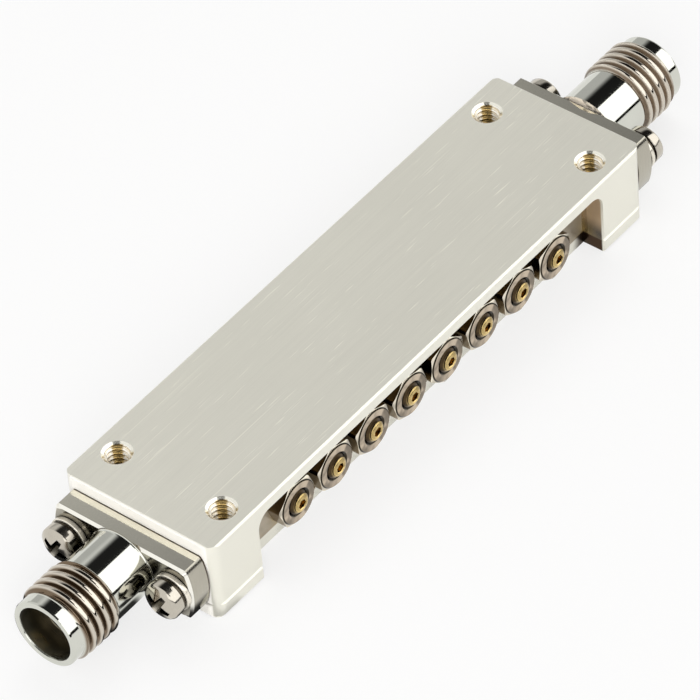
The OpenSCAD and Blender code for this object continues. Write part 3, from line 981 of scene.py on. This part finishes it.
class FILTER_OT_tuning_screws(Operator):
    """Build the threaded tuning screws with their hex sockets"""
    bl_idname = "filter.tuning_screws"
    bl_label = "Tuning screws"

    def execute(self, context):
        scene = context.scene
        t = in_mm(scene.filter_tuners)
        finish = tuner_finish(scene.filter_finishes, scene.filter_tuners)
        neck = t.screw_radius - t.screw_chamfer
        mouth = t.screw_radius * 0.55
        crown, soft, drill_tip, run_out = 0.07, 0.05, 0.12, 0.25
        for i, node, long, turn in row_of("tuning_screw", TUNER_TURNS):
            shoulder, deep = long - crown, long - t.socket_depth
            flats = [2 * math.pi * k / 6 + turn % (math.pi / 3) for k in range(6)]
            around = angles(48, *[flat + math.pi / 6 for flat in flats])
            key = hexagon(t.socket_width, 0.0, flats[0])

            def base(z):
                return min(t.screw_radius, neck + z, neck + shoulder - z)

            def brim(angle):
                return key(angle) + soft
            faces = turned(around, (0, 0), (neck, 0))
            faces += helix(around, 0, shoulder, t.screw_pitch, base, t.screw_thread_depth,
                           run_out)
            faces += turned(around, (neck, shoulder), (mouth, long), (brim, long),
                            (key, long - soft), (key, deep + drill_tip), (0, deep - soft))
            add_piece("tuner_%d" % i, mesh_from("tuner_%d" % i, faces), finish,
                      "tuner_%d" % i, [node], side_matrix(node))
        return {"FINISHED"}


class FILTER_OT_lock_nuts(Operator):
    """Build the chamfered lock nuts"""
    bl_idname = "filter.lock_nuts"
    bl_label = "Lock nuts"

    def execute(self, context):
        scene = context.scene
        t = in_mm(scene.filter_tuners)
        finish = nut_finish(scene.filter_finishes, scene.filter_tuners)
        slope = math.tan(t.nut_slope)
        face, step, sink, half = t.nut_face, t.nut_step, t.nut_sink, t.nut_width / 2
        bore = t.screw_radius + 0.03
        for i, node, thick, turn in row_of("lock_nut", NUT_TURNS):
            around = angles(96, *[turn + k * math.pi / 3 for k in range(6)])
            reach = hexagon(t.nut_width, t.nut_corner, turn + math.pi / 6)

            def upper(angle):
                return thick - step - max(0.0, reach(angle) - face - step) * slope

            def lower(angle):
                return max(0.0, reach(angle) - half) * slope
            faces = turned(around, (bore, 0), (half - 0.02, 0), (reach, lower), (reach, upper),
                           (face + step, thick - step), (face, thick), (bore + sink, thick),
                           (bore, thick - sink), (bore, 0))
            add_piece("nut_%d" % i, mesh_from("nut_%d" % i, faces), finish, "filter",
                      [node], side_matrix(node))
        return {"FINISHED"}


class FILTER_OT_flange_hardware(Operator):
    """Build the flange screws with their lock washers and flat washers"""
    bl_idname = "filter.flange_hardware"
    bl_label = "Flange hardware"

    def execute(self, context):
        scene = context.scene
        s = in_mm(scene.filter_fasteners)
        tones = scene.filter_finishes
        seat = in_mm(scene.filter_ports).flange_thickness
        head = s.flat_thickness + s.lock_thickness

        def stacks(height):
            """Where the four stacks of screw and washers stand, this far above the flange."""
            return [millimetres(port_matrix(port))
                    @ Matrix.Translation((0, side * s.row, seat + height))
                    @ Matrix.Rotation(math.radians(FLANGE_SCREW_TURNS[2 * p + n]), 4, "Z")
                    for p, port in enumerate(PORTS) for n, side in enumerate((-1, 1))]
        screws = cut(mesh_from("screws", self.screw(s), stacks(head)),
                     mesh_from("crosses", self.cross(s), stacks(head)))
        sets = (
            ("flat_washer_set", mesh_from("flat_washer_set", self.flat_washer(s), stacks(0)),
             screw_finish(tones, "washer_steel", tones.washer, 0.2, 0.0003, 0.6),
             "flat_washers"),
            # The lock washers take the dark colour as painted shade under the heads.
            ("lock_washer_set",
             mesh_from("lock_washer_set", self.lock_washer(s), stacks(s.flat_thickness)),
             screw_finish(tones, "spring_steel", tones.spring, 0.25), "lock_washers"),
            ("flange_screw_set", screws,
             screw_finish(tones, "screw_steel", tones.screw, 0.14), "flange_screws"),
        )
        for name, mesh, finish, node in sets:
            add_piece(name, mesh, finish, "filter", [node])
        return {"FINISHED"}

    def flat_washer(self, s):
        """A plain ring with rounded edges."""
        bore, out, thick = s.screw_radius + 0.02, s.flat_radius, s.flat_thickness
        low, high, inner = 0.04, 0.06, 0.02
        return turned(angles(64), (bore, 0), (out - low, 0), (out, low), (out, thick - high),
                      (out - high, thick), (bore + inner, thick), (bore, thick - inner),
                      (bore, 0))

    def lock_washer(self, s):
        """A split ring of square wire, cut on a slant."""
        inner, outer, thick = s.screw_radius + 0.02, s.lock_radius, s.lock_thickness
        soft, count, slant = 0.05, 72, math.tan(math.radians(25))
        section = [(inner + soft, 0), (outer - soft, 0), (outer, soft), (outer, thick - soft),
                   (outer - soft, thick), (inner + soft, thick), (inner, thick - soft),
                   (inner, soft)]
        middle = (inner + outer) / 2
        half_slit = s.lock_slit / 2 / middle

        def place(k, r, z):
            sweep = half_slit + (2 * math.pi - 2 * half_slit) * k / count
            turn = sweep + (z - thick / 2) * slant / middle
            return (r * math.cos(turn), r * math.sin(turn), z)
        rings = [[place(k, r, z) for r, z in section] for k in range(count + 1)]
        return between(rings) + [rings[0], rings[-1]]

    def screw(self, s):
        """A pan head on a threaded shank that points back into the block."""
        around = angles(64)
        head, high, edge, shank = s.head_radius, s.head_height, s.head_edge, s.screw_radius
        low, brow, steps = 0.05, 0.06, 8
        point, groove, run_out = 0.1, 0.16, 0.2
        dome = high - edge
        ball = (head * head + dome * dome) / 2 / dome
        tilt = math.asin((head - brow) / ball)
        tilts = [tilt * k / steps for k in range(steps, 0, -1)]
        crown = [(ball * math.sin(a), high - ball + ball * math.cos(a)) for a in tilts]
        deep = -s.screw_length
        faces = turned(around, (shank, 0), (head - low, 0), (head, low), (head, edge - brow),
                       *crown, (0, high))
        faces += helix(around, deep + point, 0, s.screw_pitch, lambda z: shank, groove, run_out)
        return faces + turned(around, (0, deep), (shank - point, deep), (shank, deep + point))

    def cross(self, s):
        """The cutter of a cross recess: four tapered wings."""
        top, brim, floor = s.head_height + 0.3, s.head_height - 0.08, s.head_height - s.cross_depth

        def wings(long, wide, z):
            reach, half = s.cross_reach * long, s.cross_width * wide / 2
            points = []
            for k in range(4):
                turn = Matrix.Rotation(k * math.pi / 2, 3, "Z")
                points += [turn @ Vector(p) for p in ((half * 1.5, -half * 1.1, z),
                                                      (reach, -half, z), (reach, half, z))]
            return [tuple(p) for p in points]
        return between([[(0, 0, top)], wings(1, 1, top), wings(1, 1, brim),
                        wings(0.42, 0.75, floor), [(0, 0, floor - 0.12)]])


class FILTER_OT_studio(Operator):
    """Set up the floor, the lights, the cards and the camera"""
    bl_idname = "filter.studio"
    bl_label = "Studio"

    def execute(self, context):
        scene = context.scene
        studio = scene.filter_studio
        scene.view_settings.view_transform = "Standard"
        self.world(scene)
        self.floor(studio.floor_light)

        height, window, horizon, front = 0.5, -1.5, 0.24, -0.125
        self.card("ceiling_card", (-0.3, front, height), (3, 3, height), tone=self.ceiling)
        self.card("zenith_card", (-0.3, -0.3, height), (0.15, front, height), 0.05)
        self.card("camera_card", (-0.6, -0.5, height), (-0.2, -0.1, height), 0.06)
        self.card("window_card", (-8, window, horizon), (8, window, 7.9), 1.75)
        self.card("horizon_card", (-8, window, 0), (8, window, horizon), 0.0)
        # Dark cards under the near port stand in for the shade on the floor there; only mirrors see
        # them.
        self.flag("barrel_flag", (-0.0295, -0.0079, 0.0001), (-0.0225, -0.003, 0.0001))
        self.flag("flange_flag", (-0.0335, -0.005, 0.0002), (-0.027, 0.009, 0.0002))
        self.flag("screw_flag", (-0.037, 0.003, 0.0003), (-0.031, 0.01, 0.0003))

        self.lamp("key_lamp", (-0.62, -0.58, 0.5), size=0.5, power=5.6)
        self.lamp("end_lamp", (-0.9, 0.1, 0.15), size=0.4, power=1.9)
        self.lamp("fill_lamp", (0.4, 0.4, 0.8), size=0.6, power=2.0)
        self.camera(scene, studio)
        return {"FINISHED"}

    def shown(self, tree):
        """1 for the rays that see the white studio: those of the camera, mirrors and glass."""
        outputs = tree.add("ShaderNodeLightPath").socket.node.outputs
        return sum(Value(tree, outputs["Is %s Ray" % kind])
                   for kind in ("Camera", "Glossy", "Transmission"))

    def glow(self, tree, kind, tone=(1.0, 1.0, 1.0), strength=1.0):
        """A shader that gives light."""
        return tree.add("ShaderNode" + kind, None, {"Color": tone, "Strength": strength})

    def world(self, scene):
        scene.world = bpy.data.worlds.new("studio")
        scene.world.use_nodes = True
        tree = Tree(scene.world.node_tree)
        plain = self.glow(tree, "Background", (1.0, 0.99, 0.97), 0.55)
        both = tree.add("ShaderNodeMixShader", None, {
            0: self.shown(tree), 1: plain, 2: self.glow(tree, "Background")})
        tree.add("ShaderNodeOutputWorld", None, {"Surface": both})

    def sheet(self, name, low, high, shader, finish=None):
        """A rectangle between two corners, either level or upright. shader builds its finish."""
        (x0, y0, z0), (x1, y1, z1) = low, high
        mesh = bpy.data.meshes.new(name)
        mesh.from_pydata([(x0, y0, z0), (x1, y0, z0), (x1, y1, z1), (x0, y1, z1)], [],
                         [(0, 1, 2, 3)])
        material = new_material(finish or name)
        tree = Tree(material.node_tree)
        tree.add("ShaderNodeOutputMaterial", None, {"Surface": shader(tree)})
        mesh.materials.append(material)
        sheet = add_object(name, mesh)
        return sheet

    def floor(self, light):
        """A matt white floor with this share of plain white in it."""
        def shader(tree):
            matt = tree.add("ShaderNodeBsdfDiffuse", None, {"Color": (0.9, 0.9, 0.9)})
            return tree.add("ShaderNodeMixShader", None, {
                0: self.shown(tree) * light, 1: matt, 2: self.glow(tree, "Emission")})
        side = 4.0
        self.sheet("floor", (-side, -side, 0), (side, side, 0), shader, "floor_white")

    def card(self, name, low, high, strength=1.0, tone=None):
        """A studio card that only mirrors see, white where no tone is given."""
        def shader(tree):
            white = (1.0, 1.0, 1.0)
            return self.glow(tree, "Emission", tone(tree) if tone else white, strength)
        card = self.sheet(name, low, high, shader)
        card.visible_camera = card.visible_diffuse = card.visible_shadow = False
        card.visible_transmission = card.visible_volume_scatter = False

    def ceiling(self, tree):
        """Dark in front, bright at the back and far out on the right."""
        x, y, _ = tree.parts(tree.place())
        near_grey, far_grey = 0.82, 0.57
        back = tree.rise(y, 0.22, 0.49, 0.02) * tree.rise(x, 0.30, 0.47, near_grey, far_grey)
        right = tree.rise(x, 0.8, 1.2) * tree.rise(y, 0.49, 0.22, 0.0, near_grey)
        return back + right

    def flag(self, name, low, high):
        """A dark card on the floor under the near port, with soft edges: painted shade on the floor
        there, which only mirrors see.
        """
        soft, white, dark = 0.0012, 0.95, 0.03

        def tone(tree):
            inside = 1.0
            for value, start, end in zip(tree.parts(tree.place()), low[:2], high[:2]):
                inside = (inside * tree.rise(value, start, start + soft)
                          * tree.rise(value, end, end - soft))
            return white - inside * (white - dark)
        self.card(name, low, high, tone=tone)

    def lamp(self, name, place, size, power):
        """A square lamp that shines on the block and shows in no mirror."""
        light = bpy.data.lights.new(name, "AREA")
        light.size = size
        light.energy = power
        lamp = add_object(name, light)
        lamp.location = place
        lamp.rotation_euler = (-Vector(place)).to_track_quat("-Z", "Y").to_euler()
        lamp.visible_glossy = False

    def camera(self, scene, studio):
        az, el = studio.azimuth, studio.elevation
        ahead = Vector((-math.sin(az) * math.cos(el), math.cos(az) * math.cos(el),
                        -math.sin(el)))
        right = ahead.cross(Vector((0, 0, 1))).normalized()
        up = right.cross(ahead)
        c, s = math.cos(studio.roll), math.sin(studio.roll)
        right, up = c * right + s * up, c * up - s * right
        data = bpy.data.cameras.new("camera")
        data.lens = studio.lens
        data.sensor_width = 36.0
        data.clip_start = 0.01
        data.clip_end = 20.0
        place = -ahead * studio.distance + right * studio.pan_right + up * studio.pan_up
        columns = Matrix((right, up, -ahead)).transposed()
        scene.camera = add_object("camera", data)
        scene.camera.matrix_world = Matrix.Translation(place) @ columns.to_4x4()


class FILTER_PT_panel(Panel):
    """Pieces, sizes and colours of the filter"""
    bl_idname = "FILTER_PT_panel"
    bl_label = "Cavity filter"
    bl_space_type = "VIEW_3D"
    bl_region_type = "UI"
    bl_category = "Filter"

    def draw(self, context):
        for name, group in GROUPS.items():
            box = self.layout.box()
            box.label(text=group.__doc__)
            for prop in group.__annotations__:
                box.prop(getattr(context.scene, name), prop)
        for operator in PIECES:
            self.layout.operator(operator.bl_idname)


GROUPS = {
    "filter_ports": PortSizes,
    "filter_tuners": TunerSizes,
    "filter_fasteners": FastenerSizes,
    "filter_finishes": Finishes,
    "filter_studio": Studio,
}
PIECES = (
    FILTER_OT_block,
    FILTER_OT_mounting_threads,
    FILTER_OT_ports,
    FILTER_OT_port_inner,
    FILTER_OT_tuning_screws,
    FILTER_OT_lock_nuts,
    FILTER_OT_flange_hardware,
    FILTER_OT_studio,
)


def register():
    for cls in (*GROUPS.values(), *PIECES, FILTER_PT_panel):
        bpy.utils.register_class(cls)
    for name, group in GROUPS.items():
        setattr(bpy.types.Scene, name, PointerProperty(type=group))


def unregister():
    for name in GROUPS:
        delattr(bpy.types.Scene, name)
    for cls in reversed((*GROUPS.values(), *PIECES, FILTER_PT_panel)):
        bpy.utils.unregister_class(cls)


def main():
    register()
    for operator in PIECES:
        section, name = operator.bl_idname.split(".")
        getattr(getattr(bpy.ops, section), name)()


if __name__ == "__main__":
    main()
